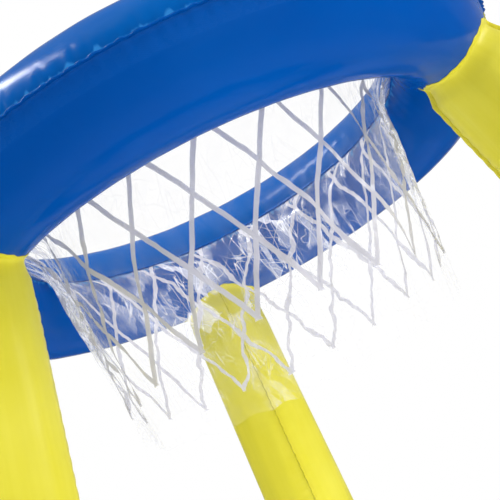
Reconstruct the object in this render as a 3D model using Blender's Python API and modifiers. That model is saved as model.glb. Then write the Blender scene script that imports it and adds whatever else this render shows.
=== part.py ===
"""An inflatable basketball hoop: two welded PVC rings on three welded PVC legs, a clear film net and five valves.

Metres, +Z up. The origin lies on the floor, on the axis of the two rings. The back leg stands towards +Y.
"""

import math
from collections import namedtuple

import bmesh
import bpy
import numpy as np
from mathutils import Matrix, Vector

# Rings: the radius runs from the axis to the middle of the inflated tube
HOOP_RADIUS = 0.185
HOOP_HALF_WIDTH = 0.035
HOOP_RISE = 0.037
HOOP_DROP = 0.046
HOOP_SEAM_HEIGHT = 0.513
BASE_RADIUS = 0.290
BASE_HALF_WIDTH = 0.043
BASE_HALF_HEIGHT = 0.043
BASE_CONTACT_WIDTH = 0.024

# Film and welds
FILM = 0.0003
WELD_GAP = 0.0003
RING_WELD_MARGIN = 0.003
LEG_WELD_MARGIN = 0.0025

# Legs
LEG_COUNT = 3
LEG_TOP_RADIUS = 0.031
LEG_BOTTOM_RADIUS = 0.040
LEG_LIP = 0.006
LEG_FILLET = 0.012
LEG_SEAT_GAP = 0.0007
LEG_END_DRAW = 0.82
LEG_LIP_FAN = math.radians(20)
WRAP_ANGLE = math.radians(68)
LIP_ANGLE = math.radians(77)

# Net film
NET_LENGTH = 0.155
NET_NECK_RADIUS = 0.133
NET_NECK_DEPTH = 0.018
NET_BOTTOM_RADIUS = 0.1155
NET_FOLDS = 12
NET_FOLD_DEPTH = 0.0035

# Valves: radii and heights in each valve's own frame, whose z is the outward normal of the film
FLANGE_RADIUS = 0.014
FLANGE_BORE = 0.0088
FLANGE_THICKNESS = 0.0006
COLLAR_THICKNESS = 0.0005
STEM_RADIUS = 0.0046
STEM_BORE = 0.0036
STEM_FOOT = -0.0015
STEM_RIM = 0.0095
COLLAR_HEIGHT = 0.0035
PLUG_HEAD_RADIUS = 0.0053
PLUG_HEAD_THICKNESS = 0.0014
PLUG_STUB_LENGTH = 0.0037
PLUG_STUB_CLEARANCE = 0.0003
PLUG_STUB_TAPER = 0.0004
HINGE_REACH = 0.0078
HINGE_DROP = 0.0010
HINGE_KNUCKLE = 0.0006
STRAP_WIDTH = 0.0036
STRAP_THICKNESS = 0.0009
FLAP_THICKNESS = 0.0005
FLAP_OVERLAP = 0.0004
PART_GAP = 0.0003
HOOP_VALVE_AZIMUTH = math.radians(90)
HOOP_VALVE_ANGLE = math.radians(38)
BASE_VALVE_AZIMUTH = math.radians(-90)
BASE_VALVE_ANGLE = math.radians(50)
LEG_VALVE_HEIGHT = 0.125
LEG_VALVE_TURN = math.radians(55)

# How finely the forms are divided
RING_SEGMENTS = 48
TUBE_STEPS = 8
LEG_STEPS = 12
LEG_WALL_ROWS = 3
NET_COLUMNS = 60
NET_ROWS = 6
VALVE_SEGMENTS = 16

Ring = namedtuple("Ring", "radius half_width rise drop seam_height")
Valve = namedtuple("Valve", "name matrix bend_x bend_y")

base_seam_height = BASE_HALF_HEIGHT * math.sqrt(1 - (BASE_CONTACT_WIDTH / 2 / BASE_HALF_WIDTH) ** 2)
HOOP = Ring(HOOP_RADIUS, HOOP_HALF_WIDTH, HOOP_RISE, HOOP_DROP, HOOP_SEAM_HEIGHT)
BASE = Ring(BASE_RADIUS, BASE_HALF_WIDTH, BASE_HALF_HEIGHT, BASE_HALF_HEIGHT, base_seam_height)
leg_azimuths = {
    "back_leg": math.radians(90),
    "left_leg": math.radians(90 + 360 / LEG_COUNT),
    "right_leg": math.radians(90 - 360 / LEG_COUNT),
}
leg_run = BASE.radius - HOOP.radius
leg_fall = HOOP.seam_height - BASE.seam_height
leg_length = math.hypot(leg_run, leg_fall)


def clear_scene():
    for thing in list(bpy.data.objects):
        bpy.data.objects.remove(thing, do_unlink=True)


def new_collection(name):
    collection = bpy.data.collections.new(name)
    bpy.context.scene.collection.children.link(collection)
    return collection


def principled(name, colour, roughness, alpha=1.0):
    """A plain material of one colour, with no metal in it."""
    material = bpy.data.materials.new(name)
    material.use_nodes = True
    shader = material.node_tree.nodes["Principled BSDF"]
    shader.inputs["Base Color"].default_value = (*colour, 1.0)
    shader.inputs["Roughness"].default_value = roughness
    shader.inputs["Metallic"].default_value = 0.0
    shader.inputs["Alpha"].default_value = alpha
    return material


def add_object(name, mesh, collection, material=None, matrix=None):
    """Links a mesh as an object, shaded smooth but for its sharp edges."""
    thing = bpy.data.objects.new(name, mesh)
    collection.objects.link(thing)
    if matrix is not None:
        thing.matrix_world = matrix
    if material is not None:
        mesh.materials.append(material)
        mesh.shade_smooth()
        mesh.set_sharp_from_angle(angle=math.radians(50))
    return thing


def hide_helper(thing):
    thing.hide_render = True
    thing.display_type = "WIRE"


def grid_mesh(name, points, closed):
    """An open surface through a grid of points (rows, columns, 3); closed joins the last column to the first."""
    rows, columns = points.shape[:2]
    row, column = np.meshgrid(np.arange(rows - 1), np.arange(columns if closed else columns - 1), indexing="ij")
    after = (column + 1) % columns
    faces = np.stack(
        [row * columns + column, row * columns + after, (row + 1) * columns + after, (row + 1) * columns + column],
        axis=-1,
    )
    mesh = bpy.data.meshes.new(name)
    mesh.from_pydata(points.reshape(-1, 3).tolist(), [], faces.reshape(-1, 4).tolist())
    return mesh


def profile_mesh(name, profile, closed):
    """A line of (radius, height) points in the XZ plane, to be turned about Z."""
    count = len(profile)
    edges = [(i, i + 1) for i in range(count - 1)]
    if closed:
        edges.append((count - 1, 0))
    mesh = bpy.data.meshes.new(name)
    mesh.from_pydata([(radius, 0.0, height) for radius, height in profile], edges, [])
    return mesh


def turn(thing, segments):
    screw = thing.modifiers.new("turn", "SCREW")
    screw.axis = "Z"
    screw.angle = math.tau
    screw.steps = segments
    screw.render_steps = segments
    screw.use_merge_vertices = True
    screw.merge_threshold = 0.00001


def thicken(thing, thickness):
    """Gives an open surface its wall, behind its outer face."""
    solidify = thing.modifiers.new("wall", "SOLIDIFY")
    solidify.thickness = thickness
    solidify.offset = -1.0
    solidify.use_even_offset = True


def boolean(thing, other, operation):
    modifier = thing.modifiers.new(operation.lower(), "BOOLEAN")
    modifier.operation = operation
    modifier.solver = "EXACT"
    modifier.object = other


def tube_point(ring, azimuth, angle, lift=0.0):
    """Points of an inflated ring's skin, lifted off it along its normal.

    The angle turns round the tube from the outer seam at 0 over the crown at 90 degrees, the inner seam at 180
    and the underside at 270. Each half of the tube is half an ellipse.
    """
    azimuth, angle = np.broadcast_arrays(azimuth, angle)
    height = np.where(np.sin(angle) >= 0, ring.rise, ring.drop)
    across = ring.half_width * np.cos(angle)
    up = height * np.sin(angle)
    normal_across = height * np.cos(angle)
    normal_up = ring.half_width * np.sin(angle)
    size = np.hypot(normal_across, normal_up)
    radius = ring.radius + across + lift * normal_across / size
    z = ring.seam_height + up + lift * normal_up / size
    return np.stack([radius * np.cos(azimuth), radius * np.sin(azimuth), z], axis=-1)


def sheet_profile(ring, side, contact_width=0.0):
    """The section of one welded sheet, with a flat weld margin at each seam. side is 1 above, -1 below."""
    height = ring.rise if side > 0 else ring.drop
    flat = math.asin(contact_width / 2 / ring.half_width)
    steps = TUBE_STEPS // 2
    quarter = np.linspace(0, math.pi / 2 - flat, steps + 1)
    angles = np.concatenate([quarter, math.pi - quarter[::-1]])
    if contact_width == 0.0:
        angles = np.delete(angles, steps)
    face = WELD_GAP / 2 + FILM
    points = [
        (ring.radius + ring.half_width * math.cos(a), ring.seam_height + side * (face + (height - face) * math.sin(a)))
        for a in angles
    ]
    margin_height = ring.seam_height + side * face
    outer = (ring.radius + ring.half_width + RING_WELD_MARGIN, margin_height)
    inner = (ring.radius - ring.half_width - RING_WELD_MARGIN, margin_height)
    profile = [outer, *points, inner]
    return profile[::-1] if side > 0 else profile


def ring_sheet(name, ring, side, material, contact_width=0.0):
    """One annular sheet of film: half of the tube and both of its weld margins."""
    mesh = profile_mesh(name, sheet_profile(ring, side, contact_width), closed=False)
    thing = add_object(name, mesh, parts, material)
    turn(thing, RING_SEGMENTS)
    thicken(thing, FILM)
    return thing


def leg_section(azimuth, along, across_ring, outwards):
    """Points of the leg at distances along its axis, beside it and outwards from it."""
    radial = np.array([math.cos(azimuth), math.sin(azimuth), 0.0])
    sideways = np.array([-math.sin(azimuth), math.cos(azimuth), 0.0])
    lean = leg_run / leg_length
    drop = leg_fall / leg_length
    direction = lean * radial - drop * np.array([0.0, 0.0, 1.0])
    normal = drop * radial + lean * np.array([0.0, 0.0, 1.0])
    start = HOOP.radius * radial + HOOP.seam_height * np.array([0.0, 0.0, 1.0])
    along, across_ring, outwards = (np.asarray(x, float)[..., None] for x in (along, across_ring, outwards))
    return start + along * direction + across_ring * sideways + outwards * normal


def leg_foot(ring, side, across_ring, outwards):
    """Where the leg's straight lines meet a ring's tube: turn round the ring, angle from the crown or underside.

    The meeting point is found by stepping between the leg's line and the tube. There the leg is drawn in towards
    the middle of the tube by LEG_END_DRAW, and it wraps no further round the tube than WRAP_ANGLE. side is -1
    under the hoop ring and 1 on the base ring.
    """
    lean = leg_run / leg_length
    drop = leg_fall / leg_length
    height = ring.rise if side > 0 else ring.drop
    furthest = math.sin(WRAP_ANGLE)
    share = np.zeros_like(across_ring)
    for _ in range(80):
        z = ring.seam_height + side * height * np.sqrt(1 - share**2)
        along = (HOOP.seam_height + outwards * lean - z) / drop
        reach = HOOP.radius + along * lean + outwards * drop
        from_middle = LEG_END_DRAW * (np.hypot(reach, across_ring) - ring.radius)
        share = np.clip(from_middle / ring.half_width, -furthest, furthest)
    turn_round = np.arctan2(across_ring, reach)
    return turn_round, np.arcsin(share), along


def on_ring(ring, side, azimuth, turn_round, wrap, lift):
    """A point over a ring's tube at an angle from its crown, or from its underside where side is -1.

    On the side of the hole the ring's straight segments stand proud of the round tube, so the lift grows there.
    """
    segment_bulge = ring.radius * (1 - math.cos(math.pi / RING_SEGMENTS))
    lift = lift + segment_bulge * np.clip(-np.sin(wrap), 0, 1)
    return tube_point(ring, azimuth + turn_round, side * (math.pi / 2 - wrap), lift)


def leg_panel(name, azimuth, right, material):
    """Half of a leg, to the right or the left of its welds as seen from outside.

    The panel of film has a weld margin down its outer and its inner side and a lip welded on to each ring. Columns
    run round the half tube from the outer margin to the inner one. Rows run down it: the top lip's edge, the fold
    where it meets the hoop ring, the wall, the fold at the base ring and the bottom lip's edge.
    """
    facing = 1.0 if right else -1.0
    off_seam = WELD_GAP / 2 + FILM
    angle = np.linspace(0, math.pi, LEG_STEPS + 1)
    unit_across = np.concatenate([[0.0], np.sin(angle), [0.0]])
    unit_out = np.concatenate([[1.0], np.cos(angle), [-1.0]])
    margin = np.concatenate([[LEG_WELD_MARGIN], np.zeros(LEG_STEPS + 1), [LEG_WELD_MARGIN]])

    def section(radius):
        return facing * np.maximum(radius * unit_across, off_seam), (radius + margin) * unit_out

    fan = LEG_LIP_FAN + angle * (1 - 2 * LEG_LIP_FAN / math.pi)
    lip_across = np.concatenate([[1 / 6], np.sin(fan), [1 / 6]]) * LEG_LIP
    lip_wrap = np.concatenate([[0.0], np.cos(fan), [0.0]]) * LEG_LIP

    rows = []
    ends = []
    for ring, side, radius in ((HOOP, -1, LEG_TOP_RADIUS), (BASE, 1, LEG_BOTTOM_RADIUS)):
        turn_round, wrap, along = leg_foot(ring, side, *section(radius))
        height = ring.rise if side > 0 else ring.drop
        arc = (ring.half_width + height) / 2
        lip_turn = turn_round + facing * lip_across / ring.radius
        lip_angle = wrap + lip_wrap / arc
        lip_angle[0] = lip_angle[1] + LEG_LIP / 6 / arc
        lip_angle[-1] = lip_angle[-2] - LEG_LIP / 6 / arc
        lip_angle = np.clip(lip_angle, -LIP_ANGLE, LIP_ANGLE)
        lip = on_ring(ring, side, azimuth, lip_turn, lip_angle, LEG_SEAT_GAP + FILM)
        fold = on_ring(ring, side, azimuth, turn_round, wrap, LEG_SEAT_GAP + FILM)
        ends.append((lip, fold, along))
    (top_lip, top_fold, top_along), (bottom_lip, bottom_fold, bottom_along) = ends
    rows += [top_lip, top_fold]
    for share in np.linspace(0, 1, LEG_WALL_ROWS):
        along = (top_along + LEG_FILLET) * (1 - share) + (bottom_along - LEG_FILLET) * share
        radius = LEG_TOP_RADIUS + (LEG_BOTTOM_RADIUS - LEG_TOP_RADIUS) * along / leg_length
        rows.append(leg_section(azimuth, along, *section(radius)))
    rows += [bottom_fold, bottom_lip]
    points = np.array(rows)
    if right:
        points = points[:, ::-1]
    thing = add_object(name, grid_mesh(name, points, closed=False), parts, material)
    thicken(thing, FILM)
    return thing


def net_film(name, material):
    """A sleeve of clear film hung from a narrow hem under the hoop's inner weld, in folds that deepen downwards."""
    theta = np.linspace(0, math.tau, NET_COLUMNS, endpoint=False)
    hem_top = HOOP.seam_height - WELD_GAP / 2 - FILM - WELD_GAP
    hole = HOOP.radius - HOOP.half_width
    hem_outer = hole * math.cos(math.pi / RING_SEGMENTS) - 2 * PART_GAP
    hem_inner = hole - RING_WELD_MARGIN - PART_GAP
    depth = np.concatenate([[NET_NECK_DEPTH], np.linspace(NET_NECK_DEPTH, NET_LENGTH, NET_ROWS)[1:]])
    share = (depth - NET_NECK_DEPTH) / (NET_LENGTH - NET_NECK_DEPTH)
    radius = NET_NECK_RADIUS + (NET_BOTTOM_RADIUS - NET_NECK_RADIUS) * share
    fold = np.cos(NET_FOLDS * theta) * (1 + 0.4 * np.sin(5 * theta))
    rows = [(np.full(NET_COLUMNS, hem_outer), hem_top), (np.full(NET_COLUMNS, hem_inner), hem_top)]
    for r, d, s in zip(radius, depth, share):
        rows.append((r + NET_FOLD_DEPTH * (0.2 + 0.8 * s) * fold, HOOP.seam_height - d))
    points = np.array([np.stack([r * np.cos(theta), r * np.sin(theta), np.full(NET_COLUMNS, z)], -1) for r, z in rows])
    thing = add_object(name, grid_mesh(name, points, closed=True), parts, material)
    thicken(thing, FILM)
    return thing


def frame_at(point, outwards, downwards):
    """A matrix at a point of the film, with z outwards and x down the film, where the strap's hinge lies."""
    z = Vector(outwards).normalized()
    x = Vector(downwards).normalized()
    matrix = Matrix((x, z.cross(x), z)).transposed().to_4x4()
    matrix.translation = Vector(point)
    return matrix


def ring_valve(name, ring, azimuth, angle):
    """The seat of a valve on a ring's upper sheet, with the film's radius of curvature each way."""
    point = tube_point(ring, azimuth, angle)
    outwards = tube_point(ring, azimuth, angle, 1.0) - point
    sideways = (-math.sin(azimuth), math.cos(azimuth), 0.0)
    downwards = np.cross(sideways, outwards)
    a, b = ring.half_width, ring.rise
    down_the_film = (a * a * math.sin(angle) ** 2 + b * b * math.cos(angle) ** 2) ** 1.5 / (a * b)
    round_the_ring = math.hypot(point[0], point[1]) / math.hypot(outwards[0], outwards[1])
    return Valve(name, frame_at(point, outwards, downwards), down_the_film, round_the_ring)


def leg_valve(name, azimuth):
    """The seat of a valve on a leg's right panel, turned from the outer weld by LEG_VALVE_TURN."""
    along = (HOOP.seam_height - LEG_VALVE_HEIGHT) * leg_length / leg_fall
    radius = LEG_TOP_RADIUS + (LEG_BOTTOM_RADIUS - LEG_TOP_RADIUS) * along / leg_length
    across, out = math.sin(LEG_VALVE_TURN), math.cos(LEG_VALVE_TURN)
    point = leg_section(azimuth, along, radius * across, radius * out)
    outwards = leg_section(azimuth, along, (radius + 1.0) * across, (radius + 1.0) * out) - point
    downwards = leg_section(azimuth, along + 1.0, radius * across, radius * out) - point
    return Valve(name, frame_at(point, outwards, downwards), math.inf, radius)


def film_height(valve, x, y):
    """How far the curved film lies above the plane that touches it at the valve's axis, which is below zero."""
    drop_x = x**2 / (valve.bend_x + np.sqrt(valve.bend_x**2 - x**2))
    drop_y = y**2 / (valve.bend_y + np.sqrt(valve.bend_y**2 - y**2))
    return -drop_x - drop_y


def conforming_ring(valve, name, radii, heights, weights, collection, material, thickness):
    """A soft ring round the valve, whose rows follow the curved film as far as their weights say."""
    theta = np.linspace(0, math.tau, VALVE_SEGMENTS, endpoint=False)
    rows = []
    for radius, height, weight in zip(radii, heights, weights):
        x = radius * np.cos(theta)
        y = radius * np.sin(theta)
        rows.append(np.stack([x, y, height + weight * film_height(valve, x, y)], -1))
    mesh = grid_mesh(name, np.array(rows)[::-1], closed=True)
    thing = add_object(name, mesh, collection, material, valve.matrix)
    thicken(thing, thickness)
    return thing


def cut_film(valve, sheet):
    """The round hole that the valve's collar passes through."""
    mesh = bpy.data.meshes.new(valve.name + "_hole")
    shape = bmesh.new()
    bmesh.ops.create_cone(
        shape,
        cap_ends=True,
        segments=VALVE_SEGMENTS,
        radius1=FLANGE_BORE + PART_GAP,
        radius2=FLANGE_BORE + PART_GAP,
        depth=4 * STEM_RADIUS,
    )
    shape.to_mesh(mesh)
    shape.free()
    cutter = add_object(mesh.name, mesh, cutters, matrix=valve.matrix)
    hide_helper(cutter)
    boolean(sheet, cutter, "DIFFERENCE")


def box_mesh(name, low, high):
    mesh = bpy.data.meshes.new(name)
    shape = bmesh.new()
    bmesh.ops.create_cube(shape, size=1.0)
    low, high = Vector(low), Vector(high)
    for vertex in shape.verts:
        vertex.co = (low + high) / 2 + Vector(a * b for a, b in zip(vertex.co, high - low))
    shape.to_mesh(mesh)
    shape.free()
    return mesh


def valve_stem(valve, material):
    """A short tube with an ear that carries the strap's hinge at its rim and a ledge for the flap at its foot."""
    name = valve.name + "_stem"
    profile = [
        (STEM_RADIUS, STEM_RIM),
        (STEM_RADIUS, STEM_FOOT),
        (STEM_BORE, STEM_FOOT),
        (STEM_BORE, STEM_RIM),
    ]
    thing = add_object(name, profile_mesh(name, profile, closed=True), parts, material, valve.matrix)
    turn(thing, VALVE_SEGMENTS)
    hinge_height = STEM_RIM - HINGE_DROP
    inside = (STEM_RADIUS + STEM_BORE) / 2
    ear_end = HINGE_REACH - HINGE_KNUCKLE - PART_GAP
    low = (inside, -STRAP_WIDTH / 2, hinge_height - HINGE_KNUCKLE)
    high = (ear_end, STRAP_WIDTH / 2, hinge_height + HINGE_KNUCKLE)
    ear = add_object(name + "_ear", box_mesh(name + "_ear", low, high), cutters, matrix=valve.matrix)
    hide_helper(ear)
    boolean(thing, ear, "UNION")
    return thing


def hinged(name, mesh, valve, pivot, material):
    """An object whose origin lies on its hinge, in a valve's frame, with its mesh moved to suit."""
    mesh.transform(Matrix.Translation(-Vector(pivot)))
    return add_object(name, mesh, parts, material, valve.matrix @ Matrix.Translation(Vector(pivot)))


def valve_plug(valve, material):
    """A round head with a tapered stub, which swings on the strap's hinge."""
    name = valve.name + "_plug"
    head_bottom = STEM_RIM + PART_GAP
    head_top = head_bottom + PLUG_HEAD_THICKNESS
    stub_end = head_bottom - PLUG_STUB_LENGTH
    stub = STEM_BORE - PLUG_STUB_CLEARANCE
    profile = [
        (0.0, head_top),
        (PLUG_HEAD_RADIUS - PLUG_HEAD_THICKNESS / 3, head_top),
        (PLUG_HEAD_RADIUS, head_top - PLUG_HEAD_THICKNESS / 3),
        (PLUG_HEAD_RADIUS, head_bottom),
        (stub, head_bottom),
        (stub - PLUG_STUB_TAPER, stub_end),
        (0.0, stub_end),
    ]
    thing = add_object(name, profile_mesh(name, profile, closed=False), parts, material, valve.matrix)
    turn(thing, VALVE_SEGMENTS)
    return thing


def valve_strap(valve, material):
    """A band from the plug's head over to a round knuckle on the hinge, extruded across its width."""
    name = valve.name + "_strap"
    hinge_height = STEM_RIM - HINGE_DROP
    band_top = STEM_RIM + PART_GAP + PLUG_HEAD_THICKNESS
    band_bottom = band_top - STRAP_THICKNESS
    start = PLUG_HEAD_RADIUS + PART_GAP
    round_points = [
        (HINGE_REACH + HINGE_KNUCKLE * math.sin(a), hinge_height + HINGE_KNUCKLE * math.cos(a))
        for a in np.radians([90, 135, 180, 225, 270])
    ]
    outline = [
        (start, band_bottom),
        (start, band_top),
        (HINGE_REACH, band_top),
        (HINGE_REACH + HINGE_KNUCKLE, band_top - STRAP_THICKNESS / 2),
        *round_points,
        (HINGE_REACH - HINGE_KNUCKLE, band_bottom),
    ]
    shape = bmesh.new()
    section = shape.faces.new([shape.verts.new((x, -STRAP_WIDTH / 2, z)) for x, z in outline])
    swept = bmesh.ops.extrude_face_region(shape, geom=[section])
    moved = [item for item in swept["geom"] if isinstance(item, bmesh.types.BMVert)]
    bmesh.ops.translate(shape, vec=(0.0, STRAP_WIDTH, 0.0), verts=moved)
    bmesh.ops.recalc_face_normals(shape, faces=shape.faces)
    mesh = bpy.data.meshes.new(name)
    shape.to_mesh(mesh)
    shape.free()
    return hinged(name, mesh, valve, (HINGE_REACH, 0.0, hinge_height), material)


def valve_flap(valve, material):
    """The no-return flap: a thin disc against the stem's foot, on a hinge at the side away from the strap."""
    name = valve.name + "_flap"
    top = STEM_FOOT - PART_GAP
    radius = STEM_BORE + FLAP_OVERLAP
    mesh = bpy.data.meshes.new(name)
    shape = bmesh.new()
    centre = Matrix.Translation((0.0, 0.0, top - FLAP_THICKNESS / 2))
    bmesh.ops.create_cone(
        shape,
        cap_ends=True,
        segments=VALVE_SEGMENTS,
        radius1=radius,
        radius2=radius,
        depth=FLAP_THICKNESS,
        matrix=centre,
    )
    shape.to_mesh(mesh)
    shape.free()
    return hinged(name, mesh, valve, (-radius, 0.0, top), material)


def add_valve(valve, sheet):
    """Flange, collar, stem, plug, strap and flap of one valve, and the hole in the film under them."""
    cut_film(valve, sheet)
    flange_top = PART_GAP + FLANGE_THICKNESS
    flange = conforming_ring(
        valve,
        valve.name + "_flange",
        (FLANGE_BORE, FLANGE_RADIUS),
        (flange_top, flange_top),
        (1.0, 1.0),
        parts,
        soft_clear,
        FLANGE_THICKNESS,
    )
    collar = conforming_ring(
        valve,
        valve.name + "_collar",
        (STEM_RADIUS + PART_GAP, (STEM_RADIUS + FLANGE_BORE) / 2, FLANGE_BORE - PART_GAP),
        (COLLAR_HEIGHT, COLLAR_HEIGHT * 0.8, flange_top),
        (0.0, 0.3, 1.0),
        parts,
        soft_clear,
        COLLAR_THICKNESS,
    )
    return [
        flange,
        collar,
        valve_stem(valve, soft_clear),
        valve_plug(valve, soft_clear),
        valve_strap(valve, soft_clear),
        valve_flap(valve, soft_clear),
    ]


clear_scene()
parts = new_collection("inflatable_basketball_hoop")
cutters = new_collection("cutters")

blue_film = principled("blue_film", (0.0, 0.09, 0.42), 0.22)
yellow_film = principled("yellow_film", (0.80, 0.72, 0.08), 0.35)
clear_film = principled("clear_film", (0.92, 0.95, 1.0), 0.10, alpha=0.25)
soft_clear = principled("soft_clear", (0.80, 0.85, 0.90), 0.25)

hoop_upper = ring_sheet("hoop_upper_sheet", HOOP, 1, blue_film)
ring_sheet("hoop_lower_sheet", HOOP, -1, blue_film)
base_upper = ring_sheet("base_upper_sheet", BASE, 1, blue_film)
ring_sheet("base_lower_sheet", BASE, -1, blue_film, BASE_CONTACT_WIDTH)
net_film("net_film", clear_film)

add_valve(ring_valve("hoop_valve", HOOP, HOOP_VALVE_AZIMUTH, HOOP_VALVE_ANGLE), hoop_upper)
add_valve(ring_valve("base_valve", BASE, BASE_VALVE_AZIMUTH, BASE_VALVE_ANGLE), base_upper)
for leg_name, leg_azimuth in leg_azimuths.items():
    right_panel = leg_panel(leg_name + "_right_panel", leg_azimuth, True, yellow_film)
    leg_panel(leg_name + "_left_panel", leg_azimuth, False, yellow_film)
    add_valve(leg_valve(leg_name + "_valve", leg_azimuth), right_panel)
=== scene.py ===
"""An inflatable basketball hoop in welded PVC film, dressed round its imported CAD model.

Metres, +Z up, in the frame of the CAD model: the floor is z = 0 and the two rings share the Z axis.
"""

import math
from collections import namedtuple

import bmesh
import bpy
import numpy as np
from mathutils import Matrix, Vector


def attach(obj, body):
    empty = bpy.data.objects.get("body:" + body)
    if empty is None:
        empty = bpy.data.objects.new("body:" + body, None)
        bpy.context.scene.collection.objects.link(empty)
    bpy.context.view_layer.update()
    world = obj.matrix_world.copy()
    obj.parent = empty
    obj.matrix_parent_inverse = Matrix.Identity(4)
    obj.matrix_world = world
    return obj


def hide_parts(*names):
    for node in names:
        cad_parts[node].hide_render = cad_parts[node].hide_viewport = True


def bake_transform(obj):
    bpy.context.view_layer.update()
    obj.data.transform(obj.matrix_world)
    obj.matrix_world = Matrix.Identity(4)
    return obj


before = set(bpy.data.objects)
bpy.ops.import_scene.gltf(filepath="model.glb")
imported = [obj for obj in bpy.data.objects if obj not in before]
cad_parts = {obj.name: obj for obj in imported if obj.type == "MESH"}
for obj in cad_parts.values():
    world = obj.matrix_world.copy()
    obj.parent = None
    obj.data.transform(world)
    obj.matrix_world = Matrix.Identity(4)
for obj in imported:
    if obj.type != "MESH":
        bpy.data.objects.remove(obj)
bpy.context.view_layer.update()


# The camera
# It stands low in front of the hoop, a little to its left, looks up under the ring and is rolled clockwise,
# as the photograph was taken.
CAMERA_PLACE = Vector((-0.1314, -0.6198, 0.2730))
CAMERA_HEADING = 0.2164
CAMERA_PITCH = 0.2723
CAMERA_ROLL = -0.4766
CAMERA_LENS = 67.95
CAMERA_NEAREST = 0.01


def add_object(name, data):
    """Puts a new object that carries a camera, a lamp or a mesh into the scene."""
    made = bpy.data.objects.new(name, data)
    bpy.context.scene.collection.objects.link(made)
    return made


forward = Vector((
    math.sin(CAMERA_HEADING) * math.cos(CAMERA_PITCH),
    math.cos(CAMERA_HEADING) * math.cos(CAMERA_PITCH),
    math.sin(CAMERA_PITCH),
))
level_right = forward.cross(Vector((0, 0, 1))).normalized()
level_up = level_right.cross(forward)
right = math.cos(CAMERA_ROLL) * level_right + math.sin(CAMERA_ROLL) * level_up
up = math.cos(CAMERA_ROLL) * level_up - math.sin(CAMERA_ROLL) * level_right
camera_turn = Matrix((right, up, -forward)).transposed().to_4x4()
camera = add_object("camera", bpy.data.cameras.new("camera"))
camera.data.lens = CAMERA_LENS
camera.data.clip_start = CAMERA_NEAREST
camera.matrix_world = Matrix.Translation(CAMERA_PLACE) @ camera_turn
bpy.context.scene.camera = camera


# The studio
# A pale floor and an even white surround, five soft boxes round the hoop, a bright strip that only the gloss
# reflects and a small bounce card under the ring. The camera sees white behind the hoop. The gloss sees a dim
# room, paler behind the hoop and overhead.
WHITE = (1.0, 1.0, 1.0, 1.0)
FLOOR_PAINT = (0.92, 0.92, 0.92, 1.0)
FLOOR_SIZE = 12.0
FLOOR_DROP = 0.0004
FLOOR_WHITE_NEAR = 0.72
PURE_WHITE_FROM = 0.9
PURE_WHITE_AT = 2.2
ROOM_LIGHT = 0.66
GLOSS_DARK = 0.09
GLOSS_BEHIND = 0.45
GLOSS_CEILING = 0.60
GLOSS_FADE_FROM = 0.25
GLOSS_FADE_AT = 0.9
SOFT_BOXES = {
    # name: place, width, height, watts, whether matt surfaces see it, whether the gloss does
    "soft_box_right": ((1.55, -0.65, 1.05), 1.0, 0.8, 15.0, True, True),
    "soft_box_front": ((0.45, -1.70, 0.55), 1.1, 0.8, 5.0, True, False),
    "soft_box_top": ((-0.35, -0.45, 2.10), 0.8, 0.8, 22.0, True, False),
    "soft_box_left": ((-1.30, 0.25, 1.45), 0.9, 0.7, 6.0, True, True),
    "soft_box_back": ((0.25, 1.40, 1.35), 1.2, 0.9, 6.0, True, False),
    "strip_light": ((-0.51, -0.02, 1.50), 0.92, 0.11, 13.0, False, True),
    "bounce_card": ((0.0, -0.05, 0.05), 0.25, 0.25, 0.75, True, False),
}
AIM = Vector((0.0, 0.0, 0.38))
# A line of sight along the net's folds passes through many layers of film
FILM_LAYERS = 48


class Wire:
    """One output socket of a material's nodes. Sums, differences and products of wires and numbers add Math
    nodes; node() adds any other node, its settings first and then its sockets' values or links."""

    def __init__(self, tree, socket=None):
        self.tree = tree
        self.socket = socket

    def node(self, kind, settings=None, values=None, output=0):
        made = self.tree.nodes.new("ShaderNode" + kind)
        for name, value in (settings or {}).items():
            setattr(made, name, value)
        for name, value in (values or {}).items():
            if isinstance(value, Wire):
                self.tree.links.new(value.socket, made.inputs[name])
            else:
                made.inputs[name].default_value = value
        return Wire(self.tree, made.outputs[output] if made.outputs else None)

    def beside(self, name):
        """Another output of the same node, by its name."""
        return Wire(self.tree, self.socket.node.outputs[name])

    def maths(self, operation, *others):
        """This wire and the others in a Math node's operation."""
        return self.node("Math", {"operation": operation}, dict(enumerate((self, *others))))

    def __add__(self, other):
        return self.maths("ADD", other)

    def __sub__(self, other):
        return self.maths("SUBTRACT", other)

    def __rsub__(self, other):
        return self.node("Math", {"operation": "SUBTRACT"}, {0: other, 1: self})

    def __mul__(self, other):
        return self.maths("MULTIPLY", other)

    __radd__ = __add__
    __rmul__ = __mul__


def start_nodes(holder):
    """Empties a material's or the world's node tree and gives a wire to begin from."""
    holder.use_nodes = True
    holder.node_tree.nodes.clear()
    return Wire(holder.node_tree)


def new_finish(name):
    """A new material and a wire to begin its nodes from."""
    finish = bpy.data.materials.new(name)
    return finish, start_nodes(finish)


def ramp(wire, low, high, start=0.0, end=1.0):
    """A straight climb from start to end as the wire goes from low to high, level beyond them."""
    return wire.node("MapRange", None, {0: wire, 1: low, 2: high, 3: start, 4: end})


world = bpy.data.worlds.new("studio")
bpy.context.scene.world = world
air = start_nodes(world)
seen = air.node("LightPath")
shown = seen.maths("MAXIMUM", seen.beside("Is Transmission Ray"))
behind = air.node("SeparateXYZ", None, {0: air.node("TexCoord")}).beside("Y")
pale_ceiling = ramp(behind.beside("Z"), 0.80, 0.98, GLOSS_DARK, GLOSS_CEILING)
gloss_white = ramp(behind, 0.0, 0.8, GLOSS_DARK, GLOSS_BEHIND).maths("MAXIMUM", pale_ceiling)
strength = ROOM_LIGHT + (gloss_white - ROOM_LIGHT) * seen.beside("Is Glossy Ray")
strength = strength + (1.0 - strength) * shown
background = air.node("Background", None, {"Color": WHITE, "Strength": strength})
air.node("OutputWorld", None, {"Surface": background})

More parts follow.
